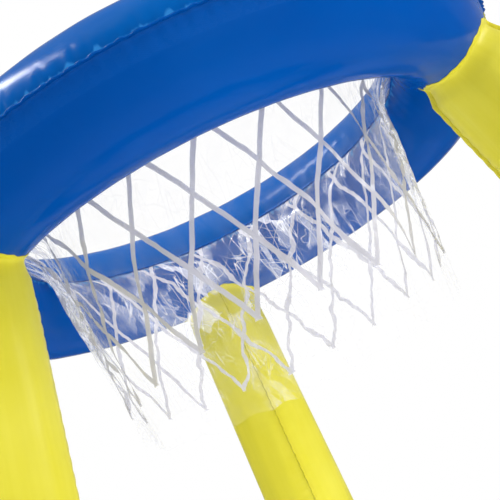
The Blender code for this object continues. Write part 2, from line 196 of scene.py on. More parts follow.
floor_mesh = bpy.data.meshes.new("floor")
half = FLOOR_SIZE / 2
corners = [(-half, -half, 0), (half, -half, 0), (half, half, 0), (-half, half, 0)]
floor_mesh.from_pydata(corners, [], [(0, 1, 2, 3)])
floor = add_object("floor", floor_mesh)
floor.location = (0, 0, -FLOOR_DROP)
floor_finish, nodes = new_finish("pale_floor")
paint = nodes.node("BsdfPrincipled", None, {
    "Base Color": FLOOR_PAINT,
    "Roughness": 0.6,
    "Specular IOR Level": 0.1,
})
glow = nodes.node("Emission", None, {"Color": WHITE, "Strength": 1.0})
dark = nodes.node("Emission", None, {"Color": WHITE, "Strength": GLOSS_DARK})
path = nodes.node("LightPath")
spot = nodes.node("TexCoord", output=3)
away = nodes.node("VectorMath", {"operation": "LENGTH"}, {0: spot}, output=1)
share = path.maths("MAXIMUM", path.beside("Is Transmission Ray"))
share = share * ramp(away, PURE_WHITE_FROM, PURE_WHITE_AT, FLOOR_WHITE_NEAR)
fading = path.beside("Is Glossy Ray") * ramp(away, GLOSS_FADE_FROM, GLOSS_FADE_AT)
painted = nodes.node("MixShader", None, {0: fading, 1: paint, 2: dark})
mixed = nodes.node("MixShader", None, {0: share, 1: painted, 2: glow})
nodes.node("OutputMaterial", None, {"Surface": mixed})
floor_mesh.materials.append(floor_finish)

for name, (place, width, height, watts, matt, gloss) in SOFT_BOXES.items():
    lamp = bpy.data.lights.new(name, "AREA")
    lamp.shape = "RECTANGLE"
    lamp.size = width
    lamp.size_y = height
    lamp.energy = watts
    box = add_object(name, lamp)
    box.visible_camera = False
    box.visible_diffuse = matt
    box.visible_glossy = gloss
    aim = (AIM - Vector(place)).to_track_quat("-Z", "Y").to_matrix().to_4x4()
    box.matrix_world = Matrix.Translation(place) @ aim

bpy.context.scene.view_settings.view_transform = "Standard"
bpy.context.scene.cycles.transparent_max_bounces = FILM_LAYERS


# The hoop ring
# Two ring-shaped sheets of blue glossy PVC film, welded together along the outer and the inner edge and blown
# up. The weld pulls the film into short puckers outside, and stays smoother round the hole.
Ring = namedtuple("Ring", "radius half_width rise drop seam_height seed")
HOOP = Ring(0.185, 0.035, 0.037, 0.046, 0.513, 11)
HOOP_VALVE = (math.radians(90), math.radians(38))
RING_COLUMNS = 1100
RING_ROWS = 38
ROW_CROWDING = 0.20
WALL = 0.0003
VALVE_HOLE = 0.0112
SEAM_GAP = 0.00002
RING_MARGIN = 0.003
MARGIN_ROWS = (1.0, 0.55, 0.12)
OUTER_WELD_SWAY = 0.00022
INNER_WELD_SWAY = 0.00015
SWAY_SPREAD = 0.35
PUCKER_WIDTH = 0.0080
PUCKER_REACH = 0.0048
PUCKER_DEPTH = 0.00045
PUCKER_DRIFT = 1.6
PUCKERS_BELOW_SHIFT = 0.7
PUCKERS_BELOW = 0.35
PUCKERS_INSIDE = 0.35
SWELL = 0.00007
SWELL_START = 0.012
# The upper sheet is the same film as the lower; its lighter, greener blues are painted light from above.
UPPER_BLUES_PAINTED_LIT = ((0.0, 0.076, 0.315, 1.0), (0.0, 0.096, 0.370, 1.0))
LOWER_BLUES = ((0.0, 0.062, 0.315, 1.0), (0.0, 0.078, 0.365, 1.0))
# Painted highlight: the pale blue of the puckers beside the weld where they face the light.
PUCKER_HIGHLIGHT_BLUE = (0.03, 0.22, 0.56, 1.0)
PUCKER_HIGHLIGHT = 0.80
PUCKER_HIGHLIGHT_START = 0.0006
PUCKER_HIGHLIGHT_REACH = 0.0050
RIB_ROUND = 0.0016
RIB_DOWN = 0.0011


def uneven_wave(turn, fewest, most, seed, count=6):
    """A wave round a ring that never quite repeats: cosines with whole counts per turn, drawn between two
    limits, with drawn phases, summed and divided by the root of half their number."""
    draw = np.random.default_rng(seed)
    counts = draw.integers(fewest, most + 1, count)
    phases = draw.uniform(0, math.tau, count)
    return sum(np.cos(n * turn + p) for n, p in zip(counts, phases)) / math.sqrt(count / 2)


def round_axis(radius, turn, z):
    """Points at a radius from the Z axis, turned round it, at a height."""
    return np.stack(np.broadcast_arrays(radius * np.cos(turn), radius * np.sin(turn), z), axis=-1)


def walk(points):
    """The distance along a line of points from its first to each."""
    return np.concatenate([[0.0], np.cumsum(np.linalg.norm(np.diff(points, axis=0), axis=1))])


def tube_skin(ring, turn, angle, lift=0.0):
    """Points of an inflated ring's skin, lifted off it along its normal.

    The angle turns round the tube from the outer seam at 0 over the crown to the inner seam at pi and back by
    the underside. Radius = ring radius + half width * cos(angle); height = seam height + rise or drop *
    sin(angle). Added along the normal: puckers from the outer seam, x * exp(1 - x - (x / 2.2) ** 2) with x
    the distance over their reach, less below the seam; weaker ones from the inner seam, x * exp(1 - x); and
    slow swells.
    """
    turn, angle = np.broadcast_arrays(np.asarray(turn, float), np.asarray(angle, float))
    above = np.sin(angle) >= 0
    height = np.where(above, ring.rise, ring.drop)
    across = ring.half_width * np.cos(angle)
    up_tube = height * np.sin(angle)
    normal_across = height * np.cos(angle)
    normal_up = ring.half_width * np.sin(angle)
    size = np.hypot(normal_across, normal_up)
    girth = (ring.half_width + height) / 2
    from_seam = np.abs(np.arctan2(np.sin(angle), np.cos(angle)))
    from_outer = girth * from_seam
    from_inner = girth * np.abs(from_seam - math.pi)
    puckers = (ring.radius + ring.half_width) * math.tau / PUCKER_WIDTH
    drift = uneven_wave(turn, 3, 29, ring.seed) * PUCKER_DRIFT
    side = np.where(above, 0.0, PUCKERS_BELOW_SHIFT)
    ridge = 1 - 2 * np.abs(np.sin(round(puckers) / 2 * turn + drift + side)) ** 0.8
    strength = 0.55 + 0.45 * uneven_wave(turn, 11, 47, ring.seed + 1)
    reach = PUCKER_REACH * (1 + 0.20 * uneven_wave(turn, 17, 61, ring.seed + 2))
    x = from_outer / np.clip(reach, 0.003, 0.02)
    depth = -PUCKER_DEPTH * np.where(above, 1.0, PUCKERS_BELOW)
    outer = depth * ridge * strength * x * np.exp(1 - x - (x / 2.2) ** 2)
    x = from_inner / PUCKER_REACH
    inner = -PUCKERS_INSIDE * PUCKER_DEPTH * uneven_wave(turn, 40, 90, ring.seed + 3) * x * np.exp(1 - x)
    swell = SWELL * (
        uneven_wave(turn + 0.5 * np.sin(angle), 5, 23, ring.seed + 4)
        + 0.5 * uneven_wave(turn + 0.15 * np.cos(2 * angle), 24, 60, ring.seed + 5)
    )
    swell = swell * np.clip(np.minimum(from_outer, from_inner) / SWELL_START, 0, 1)
    lift = lift + outer + inner + swell
    radius = ring.radius + across + lift * normal_across / size
    return round_axis(radius, turn, ring.seam_height + up_tube + lift * normal_up / size)


def weld_wave(ring, turn, outside):
    """How far the weld line strays sideways and, half as far, upwards round the ring, in metres."""
    fewest, most, sway = (90, 210, OUTER_WELD_SWAY) if outside else (30, 90, INNER_WELD_SWAY)
    sideways = sway * uneven_wave(turn, fewest, most, ring.seed + 6)
    return sideways, 0.5 * sway * uneven_wave(turn, fewest, most, ring.seed + 7)


def ring_film(ring, side):
    """A grid of points for one sheet, rows from seam to seam and columns round the ring.

    side is 1 for the upper sheet and -1 for the lower. A row at a share t of the way stands at pi * t less
    ROW_CROWDING / 2 * sin(2 * pi * t) round the tube. Film that would sink into the floor is pressed flat.
    Each end has three rows of flat weld margin. Returns the points and their (round, down) distances.
    """
    turn = np.linspace(0, math.tau, RING_COLUMNS, endpoint=False)
    start = 0.0 if side > 0 else math.pi
    evenly = np.linspace(0, 1, RING_ROWS)
    angles = start + math.pi * (evenly - ROW_CROWDING * np.sin(math.tau * evenly) / math.tau)
    skin = tube_skin(ring, turn[None, :], angles[:, None])
    skin[..., 2] = np.maximum(skin[..., 2], 0.0)
    step = side * (SEAM_GAP / 2 + WALL)
    skin[..., 2] += step * np.abs(np.cos(angles))[:, None] ** 8
    ends = []
    for angle, outside in ((angles[0], side > 0), (angles[-1], side < 0)):
        sign = 1.0 if outside else -1.0
        sideways, upwards = weld_wave(ring, turn, outside)
        ragged = 1 + 0.14 * uneven_wave(turn, 60, 260, ring.seed + 8)
        for part in MARGIN_ROWS:
            radius = ring.radius + sign * (ring.half_width + RING_MARGIN * part * ragged) + sideways
            z = ring.seam_height + step + upwards * (0.4 + 0.6 * part)
            ends.append(round_axis(radius, turn, z))
        near = np.clip(1 - np.abs(angles - angle) / SWAY_SPREAD, 0, 1)[:, None] ** 2
        skin[..., 0] += near * sideways * np.cos(turn)
        skin[..., 1] += near * sideways * np.sin(turn)
        skin[..., 2] += near * upwards * 0.4
    points = np.concatenate([np.array(ends[:3]), skin, np.array(ends[:2:-1])])
    round_ring = np.arange(RING_COLUMNS + 1) * (math.tau * ring.radius / RING_COLUMNS)
    return points, np.stack(np.meshgrid(round_ring, walk(points[:, 0])), axis=-1)


def grid_corners(rows, columns):
    """The corners of each cell of a grid in order round it: four pairs of arrays, their rows and columns."""
    row, column = (index.ravel() for index in np.indices((rows, columns)))
    return [(row, column), (row, column + 1), (row + 1, column + 1), (row + 1, column)]


def cell_faces(corners, columns):
    """Each cell's face, by its corners' numbers in the list of points; the last column meets the first."""
    return np.stack([r * columns + c % columns for r, c in corners], axis=-1)


def lay_map(mesh, name, values, corners):
    """Adds a UV map that takes a grid's two values at the corners of its faces."""
    laid = np.stack([values[r, c] for r, c in corners], axis=1)
    mesh.uv_layers.new(name=name).data.foreach_set("uv", laid.astype(np.float32).ravel())


def smooth_piece(name, mesh, finish):
    """A smoothly shaded piece in one finish."""
    mesh.materials.append(finish)
    mesh.shade_smooth()
    return add_object(name, mesh)


def film_piece(name, points, lengths, finish, wall, closed=True, holes=()):
    """A sheet of film through a grid of points, rows by columns; closed joins its last column to the first.

    lengths holds each point's distances along the film, for its UV map. Faces within holes, which are
    (centre, radius) balls, are left out. The wall grows inwards from the points.
    """
    rows, columns = points.shape[:2]
    corners = grid_corners(rows - 1, columns if closed else columns - 1)
    (row, column), _, (far_row, far_column), _ = corners
    centres = (points[row, column] + points[far_row, far_column % columns]) / 2
    keep = np.ones(len(row), bool)
    for centre, radius in holes:
        keep &= np.linalg.norm(centres - np.array(centre), axis=1) > radius
    corners = [(r[keep], c[keep]) for r, c in corners]
    used, faces = np.unique(cell_faces(corners, columns), return_inverse=True)
    mesh = bpy.data.meshes.new(name)
    mesh.from_pydata(points.reshape(-1, 3)[used].tolist(), [], faces.reshape(-1, 4).tolist())
    lay_map(mesh, "film", lengths, corners)
    piece = smooth_piece(name, mesh, finish)
    solidify = piece.modifiers.new("wall", "SOLIDIFY")
    solidify.thickness = wall
    solidify.offset = -1.0
    solidify.use_even_offset = False
    return piece


def soft_noise(place, scale, detail=2.0):
    """A noise over a place, its scale in lumps to a unit of the place."""
    return place.node("TexNoise", None, {"Vector": place, "Scale": scale, "Detail": detail})


def two_colours(share, first, second):
    """The first colour where the share is 0, the second where it is 1, and a mixture between."""
    return share.node("Mix", {"data_type": "RGBA"}, {0: share, 6: first, 7: second}, output=2)


def bumped(height, strength, distance):
    """The normal of a surface that a height lifts by up to a distance."""
    return height.node("Bump", None, {"Strength": strength, "Distance": distance, "Height": height})


def film_map(start, name):
    """The two values of a piece's UV map."""
    first = start.node("SeparateXYZ", None, {0: start.node("UVMap", {"uv_map": name})})
    return first, first.beside("Y")


def plastic(start, sockets):
    """Ends a material in a surface with these values and wires in its sockets."""
    surface = start.node("BsdfPrincipled", None, sockets)
    start.node("OutputMaterial", None, {"Surface": surface})


def vinyl(name, blues, roughness, seam_at):
    """Glossy PVC film: two near shades in slow clouds, a fine grain and orange peel, and an embossed weld.

    seam_at holds the distances down the film at which its two weld margins end. The weld's cross ribs and the
    uneven teeth of painted highlight beside it, pale blue where the puckers face the light, lie on the film
    map, the rest on object coordinates.
    """
    finish, start = new_finish(name)
    place = start.node("TexCoord", output=3)
    clouds, grain, peel = soft_noise(place, 9.0, 3.0), soft_noise(place, 900.0), soft_noise(place, 160.0)
    round_film, down_film = film_map(start, "film")
    margin, far_seam = seam_at
    weld = ramp(down_film, far_seam - margin * 0.15, far_seam + margin * 0.25)
    weld = ramp(down_film, margin * 0.75, margin * 1.15, 1.0, 0.0).maths("MAXIMUM", weld)
    ribs = (round_film * (math.tau / RIB_ROUND)).maths("SINE")
    ribs = ribs * (down_film * (math.tau / RIB_DOWN)).maths("SINE")
    colour = two_colours(ramp(clouds, 0.35, 0.65) * 0.6 + weld * 0.3, *blues)
    lumps = {"W": round_film, "Scale": 150.0, "Detail": 2.0}
    uneven = start.node("TexNoise", {"noise_dimensions": "1D"}, lumps)
    # Painted highlight: uneven pale teeth beside the first weld, where the puckers face the light.
    teeth = ramp(uneven, 0.34, 0.72, margin - PUCKER_HIGHLIGHT_START, margin + PUCKER_HIGHLIGHT_REACH)
    painted_pucker_highlight = ramp(down_film - teeth, -0.0016, 0.0005, 1.0, 0.0)
    painted_pucker_highlight = painted_pucker_highlight * ramp(down_film, margin - PUCKER_HIGHLIGHT_START, margin)
    plastic(start, {
        "Base Color": two_colours(painted_pucker_highlight * PUCKER_HIGHLIGHT, colour, PUCKER_HIGHLIGHT_BLUE),
        "Roughness": roughness + ramp(peel, 0.3, 0.7, -0.03, 0.05) + weld * 0.12,
        "Normal": bumped(grain * 0.1 + peel * 0.5 + ribs * weld * 1.2, 0.15, 0.00015),
        "IOR": 1.5,
        "Specular IOR Level": 0.07,
    })
    return finish


def valve_seat(ring, azimuth, angle):
    """The point of a ring's plain skin on which a valve stands."""
    radius = ring.radius + ring.half_width * math.cos(angle)
    z = ring.seam_height + ring.rise * math.sin(angle)
    return (radius * math.cos(azimuth), radius * math.sin(azimuth), z)


hoop_seams = (RING_MARGIN, math.pi * (HOOP.half_width + HOOP.rise) / 2 + RING_MARGIN)
# The upper sheet's finish carries painted light from above in its lighter blues.
upper_vinyl_painted_lit = vinyl("blue_vinyl_hoop_upper_painted_lit", UPPER_BLUES_PAINTED_LIT, 0.20, hoop_seams)
lower_vinyl = vinyl("blue_vinyl_hoop_lower", LOWER_BLUES, 0.15, hoop_seams)
for side, name, finish, holes in (
    (1, "hoop_upper", upper_vinyl_painted_lit, [(valve_seat(HOOP, *HOOP_VALVE), VALVE_HOLE)]),
    (-1, "hoop_lower", lower_vinyl, []),
):
    piece = film_piece(name + "_film", *ring_film(HOOP, side), finish, WALL, holes=holes)
    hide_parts(name + "_sheet")
    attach(piece, "frame")


# The base ring
# A wider and fatter ring of the same film, welded the same way, that keeps the three legs upright on water or
# the floor. Its underside is pressed flat where it rests.
BASE_FLAT = 0.012
BASE_TUBE = 0.043
BASE_HEIGHT = BASE_TUBE * math.sqrt(1 - (BASE_FLAT / BASE_TUBE) ** 2)
BASE = Ring(0.290, BASE_TUBE, BASE_TUBE, BASE_TUBE, BASE_HEIGHT, 47)
BASE_VALVE = (math.radians(-90), math.radians(50))
base_seams = (RING_MARGIN, math.pi * (BASE.half_width + BASE.rise) / 2 + RING_MARGIN)
base_vinyl = vinyl("blue_vinyl_base", LOWER_BLUES, 0.16, base_seams)
for side, name, holes in (
    (1, "base_upper", [(valve_seat(BASE, *BASE_VALVE), VALVE_HOLE)]),
    (-1, "base_lower", []),
):
    piece = film_piece(name + "_film", *ring_film(BASE, side), base_vinyl, WALL, holes=holes)
    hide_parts(name + "_sheet")
    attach(piece, "frame")


# The three legs
# Each is a tube of satin yellow PVC made of two panels, welded down its outer and its inner side. Its ends
# are cut to the rings' curves and flare into lips, welded on to the hoop's underside and the base's crown.
LEG_TOP_RADIUS = 0.031
LEG_BOTTOM_RADIUS = 0.040
LEG_MEAN_RADIUS = 0.036
LEG_COLUMNS = 72
LEG_ROWS = 190
LEG_MARGIN = 0.0025
LEG_MARGIN_ROWS = np.array([1.0, 0.6, 0.15])
LEG_LIP = 0.006
LEG_LIFT = 0.00038
LEG_FILLET = 0.012
LEG_END_DRAW = 0.82
FILLET_ROWS = 9
LIP_ROWS = 4
LIP_FAN = math.radians(20)
WRAP_LIMIT = math.radians(68)
LIP_LIMIT = math.radians(77)
LEG_VALVE_HEIGHT = 0.125
LEG_VALVE_TURN = math.radians(55)
FLAT_SEAT = 0.016
FACET = 0.00055
FINE_FACET = 0.00022
END_PLEAT = 0.0006
TOP_PLEAT_REACH = 0.022
BOTTOM_PLEAT_REACH = 0.026
PLAIN_END = 0.02
PLAIN_WELD = 0.005
WELD_BEAT = 0.0085
WELD_REACH = 0.0035
WELD_PUCKER = 0.00055
WELD_SWAY = 0.00028
WELD_SWAY_REACH = 0.006
LEG_RIB = 0.0017
LEG_SEED = 301
YELLOWS = ((0.68, 0.605, 0.030, 1.0), (0.76, 0.685, 0.068, 1.0))
leg_azimuths = {"back_leg": math.radians(90), "left_leg": math.radians(210), "right_leg": math.radians(330)}
leg_run = BASE.radius - HOOP.radius
leg_fall = HOOP.seam_height - BASE.seam_height
leg_length = math.hypot(leg_run, leg_fall)
lean = leg_run / leg_length
fall = leg_fall / leg_length
leg_valve_along = (HOOP.seam_height - LEG_VALVE_HEIGHT) * leg_length / leg_fall
leg_valve_radius = LEG_TOP_RADIUS + (LEG_BOTTOM_RADIUS - LEG_TOP_RADIUS) * leg_valve_along / leg_length
leg_valve_beside, leg_valve_out = math.sin(LEG_VALVE_TURN), math.cos(LEG_VALVE_TURN)


def compass(azimuth):
    """Directions outwards from the Z axis, sideways and upwards at an azimuth."""
    east, north = math.cos(azimuth), math.sin(azimuth)
    return np.array([east, north, 0.0]), np.array([-north, east, 0.0]), np.array([0.0, 0.0, 1.0])


def leg_point(azimuth, along, beside, outwards):
    """A point at distances along a leg's axis from the middle of the hoop's tube, beside it and outwards."""
    radial, sideways, upwards = compass(azimuth)
    direction = lean * radial - fall * upwards
    normal = fall * radial + lean * upwards
    start = HOOP.radius * radial + HOOP.seam_height * upwards
    along, beside, outwards = (np.asarray(x, float)[..., None] for x in (along, beside, outwards))
    return start + along * direction + beside * sideways + outwards * normal


def leg_valve_seat(azimuth):
    """The point of a leg's right panel on which its valve stands, LEG_VALVE_TURN from the outer weld."""
    beside, outwards = leg_valve_radius * leg_valve_beside, leg_valve_radius * leg_valve_out
    return leg_point(azimuth, leg_valve_along, beside, outwards)


def leg_meets_ring(ring, side, beside, outwards):
    """Where the leg's straight lines meet a ring's tube, found by stepping between the line and the tube.

    The end is drawn in towards the middle of the tube by LEG_END_DRAW. Returns the turn round the ring, the
    angle from the tube's crown or underside, and the distance along the leg.
    """
    height = ring.rise if side > 0 else ring.drop
    furthest = math.sin(WRAP_LIMIT)
    share = np.zeros_like(beside)
    for _ in range(80):
        z = ring.seam_height + side * height * np.sqrt(1 - share**2)
        along = (HOOP.seam_height + outwards * lean - z) / fall
        reach = HOOP.radius + along * lean + outwards * fall
        from_middle = LEG_END_DRAW * (np.hypot(reach, beside) - ring.radius)
        share = np.clip(from_middle / ring.half_width, -furthest, furthest)
    return np.arctan2(beside, reach), np.arcsin(share), along


def leg_film(azimuth, facing, seed):
    """A grid of points for one panel, rows down the leg and columns from the outer weld to the inner.

    facing is 1 for the right panel and -1 for the left. The wall is a straight cone; added to its radius are
    long soft facets, cos(5 * angle + a slow drift), pleats that fade from each end, and puckers that grow
    beside each weld as x * exp(1 - x). The film under a valve's flange stays plain. Both panels follow the
    weld's zigzag sideways. Each end turns through a quadratic curve from the wall into the lip on the ring.
    """
    angle = np.linspace(0, math.pi, LEG_COLUMNS)
    no_margin = np.zeros(3)
    around = np.concatenate([no_margin, angle, np.full(3, math.pi)])
    unit_beside = np.concatenate([no_margin, np.sin(angle), no_margin])
    unit_out = np.concatenate([np.ones(3), np.cos(angle), -np.ones(3)])
    margin = np.concatenate([LEG_MARGIN_ROWS, np.zeros(LEG_COLUMNS), LEG_MARGIN_ROWS[::-1]]) * LEG_MARGIN
    off_seam = SEAM_GAP / 2 + WALL
    fan = LIP_FAN + around * (1 - 2 * LIP_FAN / math.pi)
    in_lip = np.concatenate([no_margin, np.ones(LEG_COLUMNS), no_margin])
    lip_beside = (in_lip * np.sin(fan) + (1 - in_lip) / 6) * LEG_LIP
    lip_wrap = np.cos(fan) * LEG_LIP + unit_out * margin * (LEG_LIP / 6 / LEG_MARGIN)
    draw = np.random.default_rng(seed)
    drift, pleats = draw.uniform(0, math.tau, 4), draw.uniform(0, math.tau, 4)
    sway_phase = np.random.default_rng(seed // 10).uniform(0, math.tau, 4)

    def section(radius, edge):
        """The leg's cross-section: distances beside and outwards of its axis, clear of the other panel."""
        return facing * np.maximum(radius * unit_beside, off_seam), (radius + edge) * unit_out

    ends = []
    for ring, side, radius in ((HOOP, -1, LEG_TOP_RADIUS), (BASE, 1, LEG_BOTTOM_RADIUS)):
        turn, wrap, along = leg_meets_ring(ring, side, *section(radius, margin))
        girth = (ring.half_width + (ring.rise if side > 0 else ring.drop)) / 2
        wobble = 1 + in_lip * (0.10 * np.cos(9 * around + pleats[0]) + 0.07 * np.cos(23 * around + pleats[1]))
        lip_turn = turn + facing * lip_beside * wobble / ring.radius
        lip_angle = np.clip(wrap + lip_wrap * wobble / girth, -LIP_LIMIT, LIP_LIMIT)
        lip = tube_skin(ring, azimuth + lip_turn, side * (math.pi / 2 - lip_angle), LEG_LIFT)
        fold = tube_skin(ring, azimuth + turn, side * (math.pi / 2 - wrap), LEG_LIFT)
        ends.append((lip, fold, along))
    (top_lip, top_fold, top_along), (bottom_lip, bottom_fold, bottom_along) = ends
    share = np.linspace(0, 1, LEG_ROWS)[:, None]
    along = (top_along + LEG_FILLET) * (1 - share) + (bottom_along - LEG_FILLET) * share
    radius = LEG_TOP_RADIUS + (LEG_BOTTOM_RADIUS - LEG_TOP_RADIUS) * along / leg_length
    from_top = along - top_along - LEG_FILLET
    from_bottom = bottom_along - along - LEG_FILLET
    inside = np.clip(np.minimum(from_top, from_bottom) / PLAIN_END, 0, 1)
    facets = FACET * np.cos(5 * around + drift[0] + 0.9 * np.sin(9 * along + drift[1]))
    facets = facets + FINE_FACET * np.cos(11 * around + drift[2] + 1.3 * np.sin(14 * along + drift[3]))
    fade = np.exp(-from_top / TOP_PLEAT_REACH) + np.exp(-from_bottom / BOTTOM_PLEAT_REACH)
    pleated = END_PLEAT * fade * np.cos(15 * around + pleats[2] + 0.8 * np.cos(4 * around))
    to_weld = np.minimum(around, math.pi - around) * radius
    near_weld = np.clip(to_weld / PLAIN_WELD, 0, 1)
    off_valve = np.hypot(along - leg_valve_along, (around - LEG_VALVE_TURN) * radius)
    plain = np.clip((off_valve - FLAT_SEAT) / FLAT_SEAT, 0, 1) if facing > 0 else 1.0
    at_inner = (around > math.pi / 2) * 1.0
    beat = along * (math.pi / WELD_BEAT) + 0.9 * np.sin(23 * along + sway_phase[0]) + at_inner * sway_phase[1]
    ridge = 1 - 2 * np.abs(np.sin(beat)) ** 0.8
    x = to_weld / WELD_REACH
    puckers = -WELD_PUCKER * ridge * (0.7 + 0.3 * np.sin(61 * along + sway_phase[2])) * x * np.exp(1 - x)
    sway = WELD_SWAY * np.arcsin(np.sin(2 * beat + 0.6)) * np.exp(-to_weld / WELD_SWAY_REACH) * inside
    radius = radius + ((facets + pleated) * near_weld * plain + puckers) * inside
    edge = margin * (1 + 0.16 * np.cos(along * 310 + drift[0]))
    beside, outwards = section(radius, edge)
    wall = leg_point(azimuth, along, beside + sway, outwards)

    def curve(lip, fold, first):
        """From the lip's edge over the fold into the wall: a line to half way, then a quadratic curve."""
        middle = (lip + fold) / 2
        flat = [lip * (1 - t) + middle * t for t in np.linspace(0, 1, LIP_ROWS, endpoint=False)]
        steps = np.linspace(0, 1, FILLET_ROWS, endpoint=False)
        bent = [(1 - t) ** 2 * middle + 2 * t * (1 - t) * fold + t * t * first for t in steps]
        return np.array(flat + bent)

    bottom = curve(bottom_lip, bottom_fold, wall[-1])[::-1]
    points = np.concatenate([curve(top_lip, top_fold, wall[0]), wall, bottom])
    down = walk(points[:, LEG_COLUMNS // 2])
    lengths = np.stack(np.meshgrid(around * LEG_MEAN_RADIUS - unit_out * margin, down), axis=-1)
    return (points[:, ::-1], lengths[:, ::-1]) if facing > 0 else (points, lengths)


def satin_vinyl():
    """Satin yellow PVC film: warm and greenish clouds, faint lengthwise flow lines and paler side welds."""
    finish, start = new_finish("yellow_vinyl")
    place = start.node("TexCoord", output=3)
    clouds, peel = soft_noise(place, 14.0, 3.0), soft_noise(place, 210.0, 3.0)
    film = start.node("UVMap", {"uv_map": "film"})
    drawn_out = start.node("Mapping", None, {"Vector": film, "Scale": (260.0, 6.0, 1.0)})
    lines = soft_noise(drawn_out, 1.0)
    across, down = film_map(start, "film")
    half = math.pi * LEG_MEAN_RADIUS / 2
    weld = ramp((across - half).maths("ABSOLUTE"), half - 0.0004, half + 0.0004)
    ribs = (down * (math.tau / LEG_RIB)).maths("SINE") * weld
    mix = ramp(clouds, 0.35, 0.65) * 0.7 + ramp(lines, 0.4, 0.6) * 0.15 + weld * 0.25
    plastic(start, {
        "Base Color": two_colours(mix, *YELLOWS),
        "Roughness": 0.34 + ramp(peel, 0.3, 0.7, -0.04, 0.06) - weld * 0.08,
        "Normal": bumped(peel * 0.8 + lines * 0.5 + ribs, 0.25, 0.0002),
        "IOR": 1.5,
        "Specular IOR Level": 0.20,
        "Subsurface Weight": 0.12,
        "Subsurface Radius": (0.02, 0.016, 0.004),
        "Subsurface Scale": 0.3,
    })
    return finish


yellow_vinyl = satin_vinyl()
for number, (leg, azimuth) in enumerate(leg_azimuths.items()):
    for facing, panel in ((1, "right"), (-1, "left")):
        holes = [(leg_valve_seat(azimuth), VALVE_HOLE)] if facing > 0 else []
        points, lengths = leg_film(azimuth, facing, LEG_SEED + 10 * number + facing)
        name = f"{leg}_{panel}_film"
        piece = film_piece(name, points, lengths, yellow_vinyl, WALL, closed=False, holes=holes)
        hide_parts(f"{leg}_{panel}_panel")
        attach(piece, "frame")


# The net
# A sleeve of thin clear film, welded by its top hem under the ring's inner weld. It hangs in soft folds,
# bunched at two places, is crumpled from its packing, and has a net of diamonds printed on it in white.
NET_TOP = HOOP.seam_height - 0.00035
NET_LENGTH = 0.155
NET_HEM_RADIUS = HOOP.radius - HOOP.half_width - 0.0012
NET_NECK_DEPTH = 0.018
NET_NECK_RADIUS = 0.133
NET_BOTTOM_RADIUS = 0.1155
NET_MEAN_RADIUS = 0.124
NET_FILM = 0.0002
NET_COLUMNS = 620
NET_ROWS = 74
LEFT_BUNCH = math.radians(183)
RIGHT_BUNCH = math.radians(-20)
BUNCH_WIDTH = 0.34
BUNCH_DRAWN_IN = 0.0055
BUNCH_OPENS_FROM = 0.070
BUNCH_OPENS_OVER = 0.045
PLEAT = 0.0017
FINE_PLEAT = 0.0007
FOLD = 0.0024
FINE_FOLD = 0.0012
CREASE = 0.13
SEAM_CLOSING = 0.10
HEM_STIFF = 0.014
# Painted sheen: the back of the sleeve is drawn milkier, standing for the bright room that it reflects.
PAINTED_SHEEN_AT = math.radians(80)
PAINTED_SHEEN_WIDTH = 1.1
PRINT_PITCH = math.tau / 19
PRINT_START = math.radians(-87.7)
PRINT_DEPTHS = (-0.030, 0.013, 0.053, 0.0905, 0.133, 0.175)
PRINT_LINE = 0.0030
PRINT_LINE_SLOPE = 0.9
PRINT_END = (3.02, 3.05)
# The cells in which facets of the crumpled film carry painted highlights.
GLINT_FACET = (0.25, 0.0075, 0.0190)  # lean, width and length
CREASES = (
    # lean, spacing, length and width of the line: long, slanting, short, and two kinds in the bunches
    (0.12, 0.0085, 0.085, 0.018),
    (-0.55, 0.012, 0.060, 0.014),
    (0.9, 0.010, 0.030, 0.018),
    (-0.10, 0.0042, 0.060, 0.040),
    (0.42, 0.0060, 0.040, 0.035),
)
FILM_COLOUR = (0.96, 0.96, 1.0, 1.0)
INK_COLOUR = (0.67, 0.66, 0.71, 1.0)


def bunched_at(turn, azimuth, width):
    """How far the film is bunched: 1 at an azimuth, falling off beside it as exp(-(turn / width) ** 2)."""
    return np.exp(-((np.angle(np.exp(1j * (turn - azimuth))) / width) ** 2))


def bunched(turn):
    """How far the film is bunched by both bunches together."""
    return bunched_at(turn, LEFT_BUNCH, BUNCH_WIDTH) + bunched_at(turn, RIGHT_BUNCH, BUNCH_WIDTH)


def zigzag(phase):
    """A triangle wave between -1 and 1."""
    return np.arcsin(np.sin(phase)) / (math.pi / 2)


def crumple(round_film, depth, seed, count, shortest, longest, lean_limit):
    """Straight creases that cross each other, as in film that was folded small.

    The sum of triangle waves along drawn directions, mostly round the sleeve, so that most creases run down.
    Each wave is a distance over a drawn length, bent a little by slow cosines, and fades in and out.
    """
    draw = np.random.default_rng(seed)
    total = np.zeros(np.broadcast(round_film, depth).shape)
    for _ in range(count):
        tilt = draw.uniform(-lean_limit, lean_limit)
        length = draw.uniform(shortest, longest)
        phase, bend_phase, fade_phase = draw.uniform(0, math.tau, 3)
        line = round_film * math.cos(tilt) + depth * math.sin(tilt)
        line = line + 0.006 * np.cos(depth * 40 + round_film * 25 + bend_phase)
        fading_round, fading_down = draw.uniform(20, 60), draw.uniform(-60, 60)
        fade = 0.5 + 0.5 * np.cos(round_film * fading_round + depth * fading_down + fade_phase)
        total += zigzag(math.tau * line / length + phase) * fade * length
    return total / count


